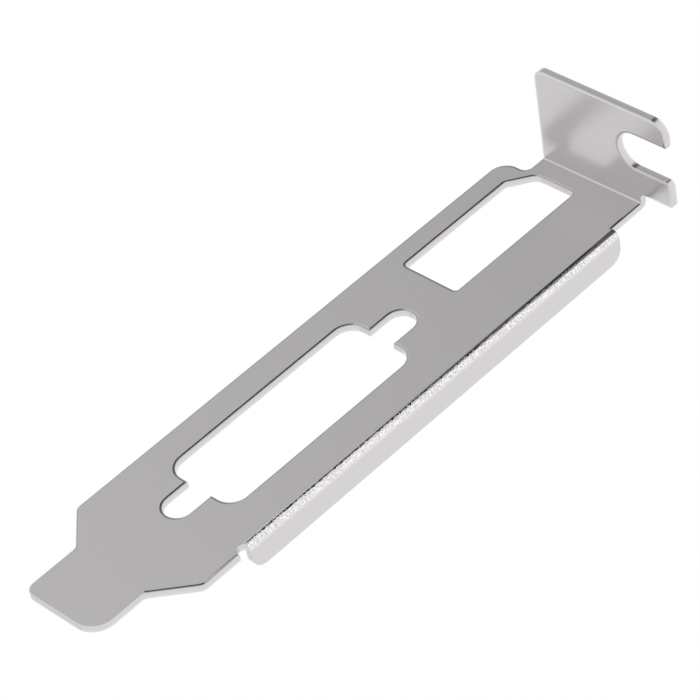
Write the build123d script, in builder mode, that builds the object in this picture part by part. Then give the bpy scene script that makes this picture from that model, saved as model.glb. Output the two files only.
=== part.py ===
from build123d import *
import os

# Low-profile bracket for an expansion card, folded from one blank of sheet steel.
# The plate closes the slot at the back of the machine. Its tongue drops into the chassis, its tab
# folds outwards and takes the fixing screw, and a narrow flange folds inwards along one long edge.
#
# +X runs along the plate from the tongue to the tab, +Y across it to the plain long edge, and +Z out
# of the outer face. The origin lies on the tab's seating face, on the plate's centreline, level with
# the middle of the screw slot. The left side is that of the plain edge, and the right side that of
# the flange. Sizes are millimetres.

# Sheet and folds
sheet_thickness = 0.8
flange_fold_radius = 0.1
tab_fold_radius = 0.2
punched_edge_radius = 0.12

# Plate
overall_length = 79.2
plate_width = 18.42
plate_corner_radius = 1.0

# Tongue, a little nearer the plain edge, and the sloping shoulders behind it
tongue_width = 10.22
tongue_offset = 0.08
tongue_left_length = 7.05
tongue_right_length = 6.68
tongue_left_radius = 1.15
tongue_right_radius = 2.6
shoulder_length = 3.85
shoulder_fillet_radius = 0.8

# Neck, where the plate narrows before the tab
neck_length = 2.8
neck_step = 3.5
neck_corner_radius = 2.0
neck_fillet_radius = 0.95

# Side flange, placed by its gaps to the tongue's tip and the tab's seat
flange_tongue_gap = 17.35
flange_tab_gap = 4.87
flange_depth = 3.7
flange_corner_radius = 1.8

# Round-ended relief notch at the flange's tongue end, and the step that frees its tab end
notch_width = 1.4
tab_step = 1.0

# Tab, which narrows a little to its top, its overhang past the flange side and its screw slot
tab_height = 12.53
tab_overhang = 3.5
tab_taper = 0.4
tab_left_radius = 1.35
tab_right_radius = 2.0
overhang_clearance = 1.26
overhang_corner_radius = 0.4
overhang_fillet_radius = 0.6
slot_height = 7.0
slot_width = 4.75
slot_depth = 6.9
slot_lead_radius = 0.7
slot_lip_radius = 0.15

# Video connector window: a round-cornered rectangle with a round-ended ear at each end
video_centre_x = -44.83
video_centre_y = 0.745
video_length = 26.9
video_width = 9.55
video_corner_radius = 2.1
video_ear_span = 36.1
video_ear_width = 3.41

# Display connector window: a rectangle with one corner cut off
display_centre_x = -12.14
display_centre_y = 2.78
display_length = 19.05
display_width = 7.51
display_corner_radius = 0.5
display_chamfer_length = 2.85
display_chamfer_width = 2.2
display_chamfer_side_radius = 0.5
display_chamfer_end_radius = 1.5

# Places that follow from the sizes
half_width = plate_width / 2
outer_face_z = -slot_height
back_face_z = outer_face_z - sheet_thickness
tongue_tip_x = sheet_thickness - overall_length
tongue_left_y = tongue_offset + tongue_width / 2
tongue_right_y = tongue_offset - tongue_width / 2
shoulder_left_x = tongue_tip_x + tongue_left_length
shoulder_right_x = tongue_tip_x + tongue_right_length
shoulder_end_x = shoulder_left_x + shoulder_length
flange_start_x = tongue_tip_x + flange_tongue_gap
flange_length = -flange_tab_gap - flange_start_x
flange_outer_radius = flange_fold_radius + sheet_thickness
flange_edge_z = outer_face_z - flange_depth
notch_middle_x = flange_start_x - notch_width / 2
notch_depth = flange_outer_radius
tab_step_y = tab_step - half_width
flange_lap_y = tab_step_y + sheet_thickness
tab_outer_radius = tab_fold_radius + sheet_thickness
neck_y = half_width - neck_step
tab_end_y = -half_width - tab_overhang
neck_end_x = -(tab_fold_radius + neck_length - neck_fillet_radius) / 2
tab_root_z = outer_face_z + (tab_fold_radius + overhang_clearance - overhang_fillet_radius) / 2
tab_top_z = outer_face_z + tab_height
overhang_z = outer_face_z + overhang_clearance
slot_half_width = slot_width / 2
slot_end_y = tab_end_y + slot_depth
slot_centre_y = slot_end_y - slot_half_width
display_x0 = display_centre_x - display_length / 2
display_x1 = display_centre_x + display_length / 2
display_y0 = display_centre_y - display_width / 2
display_y1 = display_centre_y + display_width / 2

plate_face = Plane.XY.offset(outer_face_z)
tab_face = Plane.YZ
notch_middle_face = Plane.YZ.offset(notch_middle_x)
tab_fold_face = Plane.XZ.offset(-neck_y)

# Folds on the punched side of the sheet, which is the outer one, as (axis, radius)
flange_fold_axis = Axis((0, flange_outer_radius - half_width, outer_face_z - flange_outer_radius), (1, 0, 0))
tab_fold_axis = Axis((-tab_fold_radius, 0, outer_face_z + tab_fold_radius), (0, 1, 0))
punched_folds = [(flange_fold_axis, flange_outer_radius), (tab_fold_axis, tab_fold_radius)]
touching = 1e-4


def rounded_outline(*corners):
    """Draws the closed outline through corners, each given as (across, up, corner radius)."""
    FilletPolyline(
        [(across, up) for across, up, _ in corners],
        radius=[radius for _, _, radius in corners],
        close=True,
    )


def is_punched(face):
    """Tells whether a face is on the punched side of the sheet, and not a wall cut through it."""
    centre = face.center()
    if face.geom_type == GeomType.CYLINDER:
        return any(
            face.axis_of_rotation.is_coaxial(axis) and abs(face.radius - radius) < touching
            for axis, radius in punched_folds
        )
    on_plate = abs(centre.Z - outer_face_z) < touching
    on_tab = abs(centre.X) < touching
    on_flange = abs(centre.Y + half_width) < touching and centre.Z < back_face_z
    return on_plate or on_tab or on_flange


with BuildPart() as bracket:
    # Plate, with its tongue, shoulders and neck
    with BuildSketch(plate_face):
        with BuildLine():
            rounded_outline(
                (tongue_tip_x, tongue_left_y, tongue_left_radius),
                (tongue_tip_x, tongue_right_y, tongue_right_radius),
                (shoulder_right_x, tongue_right_y, shoulder_fillet_radius),
                (shoulder_end_x, -half_width, plate_corner_radius),
                (notch_middle_x, -half_width, 0),
                (notch_middle_x, tab_step_y, 0),
                (neck_end_x, tab_step_y, 0),
                (neck_end_x, neck_y, 0),
                (-neck_length, neck_y, neck_fillet_radius),
                (-neck_length, half_width, neck_corner_radius),
                (shoulder_end_x, half_width, plate_corner_radius),
                (shoulder_left_x, tongue_left_y, shoulder_fillet_radius),
            )
        make_face()

        # Video connector window
        with Locations((video_centre_x, video_centre_y)):
            RectangleRounded(video_length, video_width, video_corner_radius, mode=Mode.SUBTRACT)
            SlotOverall(video_ear_span, video_ear_width, mode=Mode.SUBTRACT)

        # Display connector window
        with BuildLine():
            rounded_outline(
                (display_x0, display_y0, display_corner_radius),
                (display_x1, display_y0, display_corner_radius),
                (display_x1, display_y1 - display_chamfer_width, display_chamfer_end_radius),
                (display_x1 - display_chamfer_length, display_y1, display_chamfer_side_radius),
                (display_x0, display_y1, display_corner_radius),
            )
        make_face(mode=Mode.SUBTRACT)
    extrude(amount=-sheet_thickness)

    # Side flange and its fold, drawn as a section and run along the plate from the notch's middle
    with BuildSketch(notch_middle_face):
        with BuildLine():
            rounded_outline(
                (flange_lap_y, outer_face_z, 0),
                (-half_width, outer_face_z, flange_outer_radius),
                (-half_width, flange_edge_z, 0),
                (-half_width + sheet_thickness, flange_edge_z, 0),
                (-half_width + sheet_thickness, back_face_z, flange_fold_radius),
                (flange_lap_y, back_face_z, 0),
            )
        make_face()
    extrude(amount=flange_length + notch_width / 2)

    # Relief notch, which reaches in as far as the fold and rounds the fold's end
    with BuildSketch(plate_face):
        with Locations((notch_middle_x, -half_width)):
            SlotOverall(2 * notch_depth, notch_width, rotation=90)
    extrude(amount=-sheet_thickness, mode=Mode.SUBTRACT)

    # Below the plate the flange starts square, at the notch's far side
    with BuildSketch(notch_middle_face):
        with Locations((-half_width, back_face_z)):
            Rectangle(flange_outer_radius, flange_depth, align=(Align.MIN, Align.MAX))
    extrude(amount=notch_width / 2, mode=Mode.SUBTRACT)
    flange_corners = bracket.edges().filter_by(Axis.Y).group_by(Axis.Z)[0]
    fillet(flange_corners, radius=flange_corner_radius)

    # Fold between the plate and the tab
    with BuildSketch(tab_fold_face):
        with BuildLine():
            rounded_outline(
                (neck_end_x, outer_face_z, 0),
                (0, outer_face_z, tab_fold_radius),
                (0, tab_root_z, 0),
                (sheet_thickness, tab_root_z, 0),
                (sheet_thickness, back_face_z, tab_outer_radius),
                (neck_end_x, back_face_z, 0),
            )
        make_face()
    extrude(amount=neck_y - tab_step_y)

    # Tab, with its overhang and the screw slot that opens past the flange side
    with BuildSketch(tab_face):
        with BuildLine():
            FilletPolyline(
                (slot_centre_y, slot_half_width),
                (tab_end_y, slot_half_width),
                (tab_end_y, tab_top_z),
                (neck_y - tab_taper, tab_top_z),
                (neck_y, tab_root_z),
                (tab_step_y, tab_root_z),
                (tab_step_y, overhang_z),
                (tab_end_y, overhang_z),
                (tab_end_y, -slot_half_width),
                (slot_centre_y, -slot_half_width),
                radius=[
                    slot_lip_radius,
                    tab_right_radius,
                    tab_left_radius,
                    0,
                    0,
                    overhang_fillet_radius,
                    overhang_corner_radius,
                    slot_lead_radius,
                ],
            )
            ThreePointArc(
                (slot_centre_y, -slot_half_width),
                (slot_end_y, 0),
                (slot_centre_y, slot_half_width),
            )
        make_face()
    extrude(amount=sheet_thickness)

    # The punch leaves the rim of its own side rounded, round the outline and every window
    punched_edges = bracket.faces().filter_by(is_punched).edges()
    rim = [edge for edge in punched_edges if punched_edges.count(edge) == 1]
    fillet(rim, radius=punched_edge_radius)

bracket.part.label = "bracket"
os.makedirs("parts", exist_ok=True)
export_step(bracket.part, "parts/bracket.step")
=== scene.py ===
"""Dresses the folded slot bracket in satin nickel plate and lights it for a product picture."""

import logging
import math
from dataclasses import dataclass
from enum import Enum

import bmesh
import bpy
from mathutils import Matrix, Quaternion, Vector


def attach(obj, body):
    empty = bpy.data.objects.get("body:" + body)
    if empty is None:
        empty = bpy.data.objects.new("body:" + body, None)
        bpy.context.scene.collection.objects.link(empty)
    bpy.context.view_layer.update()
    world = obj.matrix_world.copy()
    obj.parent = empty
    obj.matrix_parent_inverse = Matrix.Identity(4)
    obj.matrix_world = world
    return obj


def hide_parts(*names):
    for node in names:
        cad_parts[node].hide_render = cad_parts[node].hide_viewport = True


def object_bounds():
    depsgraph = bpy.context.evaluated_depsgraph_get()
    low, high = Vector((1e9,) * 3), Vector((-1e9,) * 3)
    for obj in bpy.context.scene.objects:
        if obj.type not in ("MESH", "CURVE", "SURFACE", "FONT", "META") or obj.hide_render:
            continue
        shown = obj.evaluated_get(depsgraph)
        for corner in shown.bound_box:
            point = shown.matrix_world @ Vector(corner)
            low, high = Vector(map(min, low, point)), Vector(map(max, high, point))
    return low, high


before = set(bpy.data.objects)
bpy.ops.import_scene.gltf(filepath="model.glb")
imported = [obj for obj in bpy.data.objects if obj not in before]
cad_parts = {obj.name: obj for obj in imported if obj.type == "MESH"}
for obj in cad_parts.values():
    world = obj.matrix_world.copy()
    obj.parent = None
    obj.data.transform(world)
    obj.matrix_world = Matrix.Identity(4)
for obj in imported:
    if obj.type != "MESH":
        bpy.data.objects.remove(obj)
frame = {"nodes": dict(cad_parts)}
cad_low, cad_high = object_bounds()

LOG = logging.getLogger("bracket_scene")
MM = 0.001
WHITE = (1.0, 1.0, 1.0, 1.0)

Signal = bpy.types.NodeSocket | float
Triple = tuple[float, float, float]


class Trait(Enum):
    """Facts about the sheet that the mesh carries at its points, for the finish to read."""

    DEPTH = "depth_below_punched_face"
    WALL = "cut_wall"
    FOLD = "flange_fold"
    BURNISH = "burnish"
    ROLL = "rim_roll"
    # Painted shade: a dark line along the rim, darkened into the colour, stands in for a reflection of
    # dark surroundings.
    PAINTED_RIM_SHADE = "painted_rim_shade"


class NodeBoard:
    """A shader node tree with short calls for the few kinds of node that the finishes use."""

    def __init__(self, tree: bpy.types.NodeTree) -> None:
        """Clears the tree and keeps it.

        Args:
            tree: The node tree of a material or a world.
        """
        self.tree = tree
        tree.nodes.clear()

    def add(self, kind: str, inputs: dict | None = None, **settings: str) -> bpy.types.Node:
        """Adds a node.

        Args:
            kind: Blender's name for the node's type.
            inputs: What goes into each input, by its name or number: an output socket or a value.
            settings: The node's own settings.

        Returns:
            The new node.
        """
        node = self.tree.nodes.new(kind)
        for name, setting in settings.items():
            setattr(node, name, setting)
        for key, given in (inputs or {}).items():
            socket = node.inputs[key]
            if isinstance(given, bpy.types.NodeSocket):
                self.tree.links.new(given, socket)
            else:
                socket.default_value = given
        return node

    def math(self, operation: str, *terms: Signal) -> bpy.types.NodeSocket:
        """Gives the result of a Math node on one, two or three terms."""
        return self.add("ShaderNodeMath", dict(enumerate(terms)), operation=operation).outputs[0]

    def attribute(self, trait: Trait) -> bpy.types.NodeSocket:
        """Gives the value that the mesh carries for a trait."""
        return self.add("ShaderNodeAttribute", attribute_name=trait.value).outputs["Fac"]

    def ramp(self, amount: Signal, low: float, high: float) -> bpy.types.NodeSocket:
        """Gives a smooth step that is 0 below low and 1 above high."""
        inputs = {"Value": amount, "From Min": low, "From Max": high}
        return self.add("ShaderNodeMapRange", inputs, interpolation_type="SMOOTHSTEP").outputs["Result"]

    def between(self, amount: Signal, low: Signal, high: Signal) -> bpy.types.NodeSocket:
        """Gives low where amount is 0 and high where it is 1."""
        inputs = {"Value": amount, "To Min": low, "To Max": high}
        return self.add("ShaderNodeMapRange", inputs).outputs["Result"]

    def noise(self, place: bpy.types.NodeSocket, grain: float, detail: float) -> bpy.types.NodeSocket:
        """Gives a noise pattern whose patches are about grain metres across."""
        inputs = {"Vector": place, "Scale": 1.0 / grain, "Detail": detail, "Roughness": 0.5}
        return self.add("ShaderNodeTexNoise", inputs).outputs["Fac"]

    def object_place(self) -> bpy.types.NodeSocket:
        """Gives the place on the object that is being shaded."""
        return self.add("ShaderNodeTexCoord").outputs["Object"]


@dataclass(frozen=True)
class NickelPlate:
    """Satin nickel plating on steel sheet, with its crinkled fold and its sheared edges.

    Lengths are in metres. A band is where a noise pattern climbs from 0 to 1.
    """

    name: str = "satin_nickel_plate"
    cool_grey: Triple = (0.664, 0.648, 0.656)
    warm_grey: Triple = (0.672, 0.646, 0.650)
    blotch_grain: float = 7.0 * MM
    blotch_detail: float = 2.0
    blotch_band: tuple[float, float] = (0.3, 0.7)
    roughness: float = 0.24
    roughness_spread: float = 0.03
    peel_grain: float = 0.35 * MM
    peel_detail: float = 3.0
    peel_height: float = 0.0006 * MM
    crinkle_grain: float = 0.27 * MM
    crinkle_detail: float = 1.0
    crinkle_height: float = 0.11 * MM
    crinkle_strokes: Triple = (1.5, 1.0, 1.0)
    crinkle_middle: float = 0.5
    # Painted highlight: the crinkle's crests on the fold are brightened in the colour in place of
    # sparkling reflections.
    painted_glint_band: tuple[float, float] = (0.38, 0.62)
    painted_glint_gain: float = 1.46
    worked_roughness: float = 0.11
    roll_drop: float = 0.054 * MM
    # Painted shade: how far the painted dark rim line brings the colour down.
    rim_shade_gain: float = 0.18
    burnish_end: float = 0.48 * MM
    fracture_start: float = 0.56 * MM
    fracture_roughness: float = 0.28
    fracture_gain: float = 1.08

    def material(self) -> bpy.types.Material:
        """Makes the finish.

        Returns:
            The material, which reads the traits of the mesh that it is put on.
        """
        finish = bpy.data.materials.new(self.name)
        finish.use_nodes = True
        board = NodeBoard(finish.node_tree)
        place = board.object_place()
        peel = board.noise(place, self.peel_grain, self.peel_detail)
        inputs = {0: place, 1: self.crinkle_strokes}
        strokes = board.add("ShaderNodeVectorMath", inputs, operation="MULTIPLY")
        crinkle = board.noise(strokes.outputs["Vector"], self.crinkle_grain, self.crinkle_detail)
        depth = board.attribute(Trait.DEPTH)
        below_burnish = board.ramp(depth, self.burnish_end, self.fracture_start)
        fracture = board.math("MULTIPLY", board.attribute(Trait.WALL), below_burnish)
        shader = board.add("ShaderNodeBsdfPrincipled", {
            "Base Color": self.colour(board, place, crinkle, fracture),
            "Metallic": 1.0,
            "Roughness": self.dullness(board, peel, fracture),
            "Normal": self.normal(board, peel, crinkle),
        })
        board.add("ShaderNodeOutputMaterial", {"Surface": shader.outputs["BSDF"]})
        return finish

    def colour(self, board: NodeBoard, place: bpy.types.NodeSocket, crinkle: bpy.types.NodeSocket,
               fracture: bpy.types.NodeSocket) -> bpy.types.NodeSocket:
        """Mixes two greys, with a painted highlight on the crinkle's crests, brighter on the fracture,
        and painted shade along the rim.

        Args:
            board: The material's node tree.
            place: The place on the object.
            crinkle: The pattern of the worked fold.
            fracture: How far into the fracture zone of a cut wall a place is.

        Returns:
            The colour.
        """
        blotch = board.ramp(board.noise(place, self.blotch_grain, self.blotch_detail), *self.blotch_band)
        inputs = {"Factor": blotch, "A": (*self.cool_grey, 1.0), "B": (*self.warm_grey, 1.0)}
        grey = board.add("ShaderNodeMix", inputs, data_type="RGBA")
        # Painted highlight: brightens the colour on the crinkle's crests along the fold.
        painted_glint = board.math("MULTIPLY", board.attribute(Trait.FOLD), board.ramp(crinkle, *self.painted_glint_band))
        fracture_gain = board.between(fracture, 1.0, self.fracture_gain)
        # Painted shade: the rim line is darkened in the colour in place of a dark reflection.
        rim_shade_gain = board.between(board.attribute(Trait.PAINTED_RIM_SHADE), 1.0, self.rim_shade_gain)
        painted_glint_gain = board.between(painted_glint, 1.0, self.painted_glint_gain)
        gain = board.math("MULTIPLY", board.math("MULTIPLY", fracture_gain, rim_shade_gain), painted_glint_gain)
        inputs = {0: grey.outputs["Result"], "Scale": gain}
        return board.add("ShaderNodeVectorMath", inputs, operation="SCALE").outputs["Vector"]

    def dullness(self, board: NodeBoard, peel: bpy.types.NodeSocket,
                 fracture: bpy.types.NodeSocket) -> bpy.types.NodeSocket:
        """Gives the roughness: satin on the flats, glossier where worked and dull on the fracture.

        Args:
            board: The material's node tree.
            peel: The fine pattern of the plating.
            fracture: How far into the fracture zone of a cut wall a place is.

        Returns:
            The roughness.
        """
        spread = self.roughness_spread
        satin = board.between(peel, self.roughness - spread, self.roughness + spread)
        worked = board.between(board.attribute(Trait.BURNISH), satin, self.worked_roughness)
        return board.between(fracture, worked, self.fracture_roughness)

    def normal(self, board: NodeBoard, peel: bpy.types.NodeSocket,
               crinkle: bpy.types.NodeSocket) -> bpy.types.NodeSocket:
        """Turns the heights of the peel, the crinkled fold and the sunk rim into a bumped normal.

        Args:
            board: The material's node tree.
            peel: The fine pattern of the plating.
            crinkle: The pattern of the worked fold.

        Returns:
            The normal.
        """
        centred = board.math("SUBTRACT", crinkle, self.crinkle_middle)
        folded = board.math("MULTIPLY", centred, board.attribute(Trait.FOLD))
        plated = board.math("MULTIPLY", peel, self.peel_height)
        relief = board.math("MULTIPLY_ADD", folded, self.crinkle_height, plated)
        relief = board.math("MULTIPLY_ADD", board.attribute(Trait.ROLL), -self.roll_drop, relief)
        inputs = {"Height": relief, "Distance": 1.0, "Strength": 1.0}
        return board.add("ShaderNodeBump", inputs).outputs["Normal"]


@dataclass(frozen=True)
class Plateau:
    """A share that climbs from 0 at start to 1 at full, and falls from 1 at fading to 0 at end."""

    start: float
    full: float
    fading: float
    end: float

    def share(self, amount: float) -> float:
        """Gives the share at an amount.

        Args:
            amount: The amount, in the unit of the four limits.

        Returns:
            The share, from 0 to 1.
        """
        climb = (amount - self.start) / (self.full - self.start)
        fall = (self.end - amount) / (self.end - self.fading)
        return max(0.0, min(1.0, climb, fall))


@dataclass(frozen=True)
class Bracket:
    """The folded sheet, as a smooth-shaded piece made from the CAD solid.

    Lengths are in metres, in the frame's axes: X along the plate, Y across it and Z out of its face.
    The rim is sunk from roll_start on, but not between notch_start and notch_end on the flange's
    side. Its painted shade, a dark line standing in for a reflection, is full beside the tab on that
    side, past the start given for it. The two plateaus say how far round the flange's fold, in degrees,
    the sheet is crinkled, with painted highlights on its crests, and burnished.
    """

    node: str = "bracket"
    name: str = "bracket_sheet"
    sheet: float = 0.8 * MM
    half_width: float = 9.21 * MM
    plate_face: float = -7.0 * MM
    flange_fold_radius: float = 0.9 * MM
    rim_radius: float = 0.12 * MM
    roll_width: float = 0.18 * MM
    roll_start: float = -71.6 * MM
    notch_start: float = -62.8 * MM
    notch_end: float = -60.7 * MM
    # Painted shade is full on the rim beside the tab from here on.
    full_shade_start: float = -6.0 * MM
    flange_side: float = -8.0 * MM
    # Share of the painted rim shade elsewhere on the plate.
    rim_shade_share: float = 0.36
    crinkled: Plateau = Plateau(12.0, 30.0, 62.0, 78.0)
    burnished: Plateau = Plateau(0.0, 8.0, 82.0, 90.0)
    weld_gap: float = 0.001 * MM
    fold_gap: float = 0.01 * MM
    touching: float = 0.0001 * MM
    square_on: float = 0.999
    side_on: float = 0.01
    steep: float = 0.5
    sharp_angle: float = math.radians(35.0)

    def build(self, nodes: dict[str, bpy.types.Object]) -> bpy.types.Object:
        """Makes the piece.

        Args:
            nodes: The frame's nodes by name.

        Returns:
            The piece, in place but with no finish.
        """
        mesh = nodes[self.node].data.copy()
        mesh.name = self.name
        shape = bmesh.new()
        shape.from_mesh(mesh)
        bmesh.ops.remove_doubles(shape, verts=shape.verts, dist=self.weld_gap)
        for is_flat in (self.is_plate_flat, self.is_tab_flat):
            faces = [face for face in shape.faces if is_flat(face.normal, face.calc_center_median())]
            bmesh.ops.inset_region(shape, faces=faces, thickness=self.roll_width,
                                   use_boundary=True, use_even_offset=True)
        shape.to_mesh(mesh)
        shape.free()
        if "custom_normal" in mesh.attributes:
            mesh.attributes.remove(mesh.attributes["custom_normal"])
        mesh.shade_smooth()
        mesh.set_sharp_from_angle(angle=self.sharp_angle)
        self.mark_traits(mesh)
        piece = bpy.data.objects.new(self.name, mesh)
        bpy.context.scene.collection.objects.link(piece)
        weighting = piece.modifiers.new("face_normals", "WEIGHTED_NORMAL")
        weighting.keep_sharp = True
        return piece

    def mark_traits(self, mesh: bpy.types.Mesh) -> None:
        """Writes each trait at each corner of the mesh.

        Args:
            mesh: The welded mesh.
        """
        values = {trait: [0.0] * len(mesh.loops) for trait in Trait}
        rim_edges = {edge for face in mesh.polygons if self.is_rim(face) for edge in face.edge_keys}
        for face in mesh.polygons:
            wall = self.is_wall(face)
            rolled = set()
            if not wall and not self.on_flange(face.center):
                rolled = {vertex for edge in face.edge_keys if edge in rim_edges for vertex in edge}
            for corner in face.loop_indices:
                vertex = mesh.loops[corner].vertex_index
                spot = mesh.vertices[vertex].co
                turn = self.fold_turn(spot, face)
                values[Trait.DEPTH][corner] = self.depth(spot, face.center)
                values[Trait.WALL][corner] = float(wall)
                values[Trait.FOLD][corner] = self.crinkled.share(turn)
                values[Trait.BURNISH][corner] = self.burnished.share(turn)
                if vertex in rolled and self.is_sunk(spot):
                    values[Trait.ROLL][corner] = 1.0
                    values[Trait.BURNISH][corner] = 1.0
                    # Painted shade: how much the dark rim line darkens the colour here.
                    values[Trait.PAINTED_RIM_SHADE][corner] = self.rim_shade_amount(spot)
        for trait in Trait:
            attribute = mesh.attributes.new(trait.value, "FLOAT", "CORNER")
            attribute.data.foreach_set("value", values[trait])

    def is_plate_flat(self, normal: Vector, centre: Vector) -> bool:
        """Tells whether a face is in the plate's punched flat."""
        return normal.z > self.square_on and abs(centre.z - self.plate_face) < self.weld_gap

    def is_tab_flat(self, normal: Vector, centre: Vector) -> bool:
        """Tells whether a face is in the tab's punched flat."""
        return normal.x < -self.square_on and abs(centre.x) < self.weld_gap

    def is_rim(self, face: bpy.types.MeshPolygon) -> bool:
        """Tells whether a face is in the rounded rim of the punched side.

        Args:
            face: The face asked about.

        Returns:
            Whether it is in the rim, which the flange's fold isn't.
        """
        beside_flange = face.center.y < self.flange_fold_radius - self.half_width
        in_fold = beside_flange and abs(face.normal.x) < self.side_on
        return not in_fold and self.touching < self.depth(face.center, face.center) < self.rim_radius

    def on_tab(self, spot: Vector) -> bool:
        """Tells whether a spot is on the tab, which stands up from the plate's face."""
        return spot.z > self.plate_face + self.rim_radius

    def on_flange(self, spot: Vector) -> bool:
        """Tells whether a spot is on the flange, which hangs from the plate's back."""
        return spot.z < self.plate_face - self.sheet - self.rim_radius

    def depth(self, spot: Vector, centre: Vector) -> float:
        """Gives how deep a spot lies below the punched side, which is the outer one.

        Args:
            spot: The place asked about.
            centre: The middle of its face, which says which leaf of the sheet it is on.

        Returns:
            The depth in metres.
        """
        if self.on_tab(centre):
            return spot.x
        if self.on_flange(centre):
            return spot.y + self.half_width
        return self.plate_face - spot.z

    def is_wall(self, face: bpy.types.MeshPolygon) -> bool:
        """Tells whether a face is a wall cut through the sheet, and not one of its two sides.

        Args:
            face: The face asked about.

        Returns:
            Whether it stands steeply to its own leaf of the sheet.
        """
        if self.on_tab(face.center):
            return abs(face.normal.x) < self.steep
        if self.on_flange(face.center):
            return abs(face.normal.y) < self.steep
        return abs(face.normal.z) < self.steep

    def is_sunk(self, spot: Vector) -> bool:
        """Tells whether the rim is sunk at a spot, which it isn't at the tongue's tip or the notch."""
        at_notch = self.notch_start < spot.x < self.notch_end and spot.y < self.flange_side
        return spot.x > self.roll_start and not at_notch

    def rim_shade_amount(self, spot: Vector) -> float:
        """Gives how much painted shade darkens the rim at a spot.

        Args:
            spot: The place asked about.

        Returns:
            The share of the full painted shade: none on the tab, and all of it beside the tab on the
                flange's side.
        """
        if self.on_tab(spot):
            return 0.0
        # Painted shade is strongest beside the tab on the flange's side.
        in_full_shade = spot.x > self.full_shade_start and spot.y < self.flange_side
        return 1.0 if in_full_shade else self.rim_shade_share

    def fold_turn(self, spot: Vector, face: bpy.types.MeshPolygon) -> float:
        """Gives how far round the flange's fold a spot is.

        Args:
            spot: The place asked about.
            face: The face that it is a corner of.

        Returns:
            The turn in degrees, from 0 at the plate to 90 at the flange, or 0 for a spot off the fold.
        """
        across = -self.half_width + self.flange_fold_radius - spot.y
        up = spot.z - (self.plate_face - self.flange_fold_radius)
        off_surface = abs(math.hypot(across, up) - self.flange_fold_radius) > self.fold_gap
        off_quarter = across < -self.weld_gap or up < -self.weld_gap
        if off_surface or off_quarter or abs(face.normal.x) > self.steep:
            return 0.0
        return math.degrees(math.atan2(across, up))

    def dress(self, piece: bpy.types.Object, finish: bpy.types.Material) -> None:
        """Puts the finish on the piece and lets it stand for the CAD node.

        Args:
            piece: The built piece.
            finish: Its material.
        """
        piece.data.materials.clear()
        piece.data.materials.append(finish)
        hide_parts(self.node)
        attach(piece, "root")


def flat_sheet(name: str, width: float, height: float, level: float = 0.0) -> bpy.types.Object:
    """Makes a plain rectangle that faces up.

    Args:
        name: The name of the object and its mesh.
        width: Its size along X.
        height: Its size along Y.
        level: Its place along Z.

    Returns:
        The rectangle, in the scene.
    """
    corner_signs = ((-1, -1), (1, -1), (1, 1), (-1, 1))
    corners = [(x * width / 2, y * height / 2, level) for x, y in corner_signs]
    mesh = bpy.data.meshes.new(name)
    mesh.from_pydata(corners, [], [(0, 1, 2, 3)])
    sheet = bpy.data.objects.new(name, mesh)
    bpy.context.scene.collection.objects.link(sheet)
    return sheet


@dataclass(frozen=True)
class StudioCard:
    """A plain card round the object that only shows as a reflection in it.

    toward points from the middle of the object to the card, and across is where its width runs. Its
    radiance is 1 for a white that renders as white, and falls by fade over each metre across.
    Lengths are in metres.
    """

    name: str
    toward: Triple
    width: float
    height: float
    radiance: float
    across: Triple = (1.0, 0.0, 0.0)
    fade: float = 0.0
    distance: float = 0.9

    def build(self, middle: Vector) -> bpy.types.Object:
        """Makes the card, facing the object.

        Args:
            middle: The middle of the object.

        Returns:
            The card.
        """
        toward = Vector(self.toward).normalized()
        up = toward.cross(Vector(self.across)).normalized()
        side = up.cross(toward)
        turn = Matrix((side, up, toward)).transposed().to_4x4()
        card = flat_sheet(self.name, self.width, self.height)
        card.matrix_world = Matrix.Translation(middle + toward * self.distance) @ turn
        card.data.materials.append(self.paint())
        card.visible_camera = False
        card.visible_diffuse = False
        card.visible_shadow = False
        return card

    def paint(self) -> bpy.types.Material:
        """Makes the card's glow, which may fade across it.

        Returns:
            The material.
        """
        paint = bpy.data.materials.new(self.name)
        paint.use_nodes = True
        board = NodeBoard(paint.node_tree)
        place = board.add("ShaderNodeSeparateXYZ", {0: board.object_place()})
        strength = board.math("MULTIPLY_ADD", place.outputs["X"], -self.fade, self.radiance)
        glow = board.add("ShaderNodeEmission", {"Color": WHITE, "Strength": strength})
        board.add("ShaderNodeOutputMaterial", {"Surface": glow.outputs[0]})
        return paint


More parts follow.
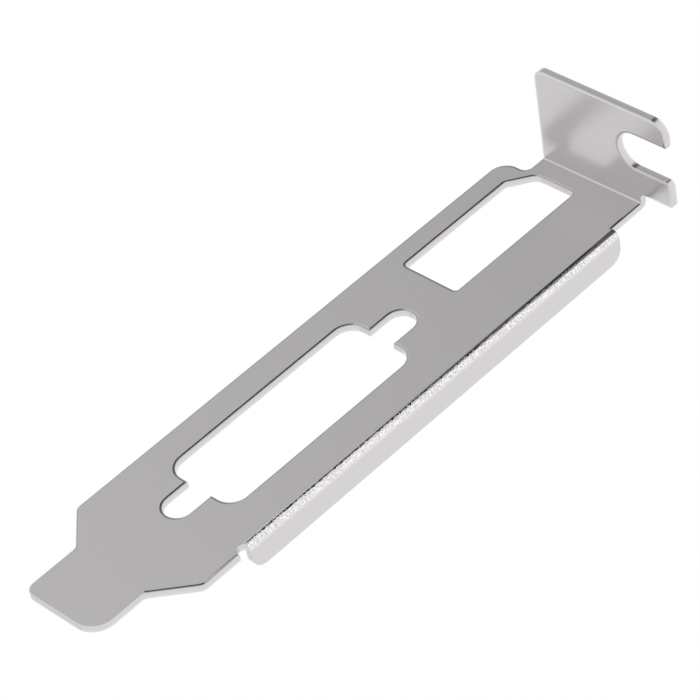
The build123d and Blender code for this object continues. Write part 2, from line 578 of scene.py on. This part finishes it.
@dataclass(frozen=True)
class Studio:
    """The white surroundings: a floor well below the held bracket, an even sky and the cards."""

    floor_drop: float = 0.25
    floor_size: float = 12.0
    floor_white: float = 0.9
    floor_glow: float = 0.1
    cards: tuple[StudioCard, ...] = (
        StudioCard("grey_wall", (0.45, 0.70, 0.52), 1.20, 0.80, 0.605, fade=0.47),
        StudioCard("side_wall", (-0.30, 0.65, 0.66), 1.40, 0.90, 0.88, distance=0.95),
        StudioCard("dark_flag", (0.08, 0.12, 0.985), 0.44, 0.34, 0.03),
        StudioCard("tilted_flag", (0.46, 0.12, 0.87), 0.52, 0.30, 0.03, across=(1.0, 0.6, 0.0)),
        StudioCard("dark_corner", (0.754, 0.298, 0.586), 0.40, 0.22, 0.10, across=(0.165, 0.318, -0.369)),
        StudioCard("dark_side", (0.80, 0.56, 0.20), 0.46, 0.26, 0.35, across=(0.56, -0.80, 0.0),
                   distance=0.85),
        StudioCard("low_card", (-0.467, 0.585, -0.664), 0.22, 0.22, 0.88, distance=0.33),
    )

    def build(self, low: Vector, high: Vector) -> None:
        """Makes the surroundings.

        Args:
            low: The object's lowest corner.
            high: Its highest corner.
        """
        self.build_floor(low)
        self.build_sky()
        for card in self.cards:
            LOG.info("card %s", card.build((low + high) / 2).name)

    def build_floor(self, low: Vector) -> None:
        """Makes the floor, which is white where nothing shades it.

        Args:
            low: The object's lowest corner.
        """
        floor = flat_sheet("floor", self.floor_size, self.floor_size, low.z - self.floor_drop)
        paint = bpy.data.materials.new("white_floor")
        paint.use_nodes = True
        board = NodeBoard(paint.node_tree)
        white = board.add("ShaderNodeBsdfDiffuse", {"Color": (self.floor_white,) * 3 + (1.0,)})
        glow = board.add("ShaderNodeEmission", {"Color": WHITE, "Strength": self.floor_glow})
        both = board.add("ShaderNodeAddShader", {0: white.outputs[0], 1: glow.outputs[0]})
        board.add("ShaderNodeOutputMaterial", {"Surface": both.outputs[0]})
        floor.data.materials.append(paint)

    def build_sky(self) -> None:
        """Makes the world an even white, which lights everything softly."""
        world = bpy.data.worlds.new("white_sky")
        bpy.context.scene.world = world
        world.use_nodes = True
        board = NodeBoard(world.node_tree)
        sky = board.add("ShaderNodeBackground", {"Color": WHITE, "Strength": 1.0})
        board.add("ShaderNodeOutputWorld", {"Surface": sky.outputs[0]})


@dataclass(frozen=True)
class ProductCamera:
    """The photograph's camera, as fitted to the bracket's edges. Lengths are in metres."""

    name: str = "product_camera"
    place: Triple = (-0.19797, -0.20245, 0.22517)
    aim: Triple = (-0.03468, 0.00215, -0.007)
    roll: float = math.radians(-11.73)
    lens_mm: float = 173.85
    sensor_mm: float = 36.0
    nearest: float = 0.01

    def build(self) -> bpy.types.Object:
        """Makes the camera and sets it as the scene's.

        Returns:
            The camera.
        """
        data = bpy.data.cameras.new(self.name)
        data.lens = self.lens_mm
        data.sensor_width = self.sensor_mm
        data.clip_start = self.nearest
        camera = bpy.data.objects.new(self.name, data)
        look = Vector(self.aim) - Vector(self.place)
        roll = Quaternion((0.0, 0.0, 1.0), self.roll)
        camera.location = self.place
        camera.rotation_mode = "QUATERNION"
        camera.rotation_quaternion = look.to_track_quat("-Z", "Y") @ roll
        bpy.context.scene.collection.objects.link(camera)
        bpy.context.scene.camera = camera
        return camera


def main() -> None:
    """Builds the camera, the bracket and the studio."""
    logging.basicConfig(level=logging.INFO, format="%(name)s: %(message)s")
    bpy.context.scene.view_settings.view_transform = "Standard"
    camera = ProductCamera().build()
    LOG.info("camera %s, lens %.1f mm", camera.name, camera.data.lens)
    bracket = Bracket()
    piece = bracket.build(frame["nodes"])
    bracket.dress(piece, NickelPlate().material())
    LOG.info("piece %s, %d faces", piece.name, len(piece.data.polygons))
    Studio().build(cad_low, cad_high)


if __name__ == "__main__":
    main()
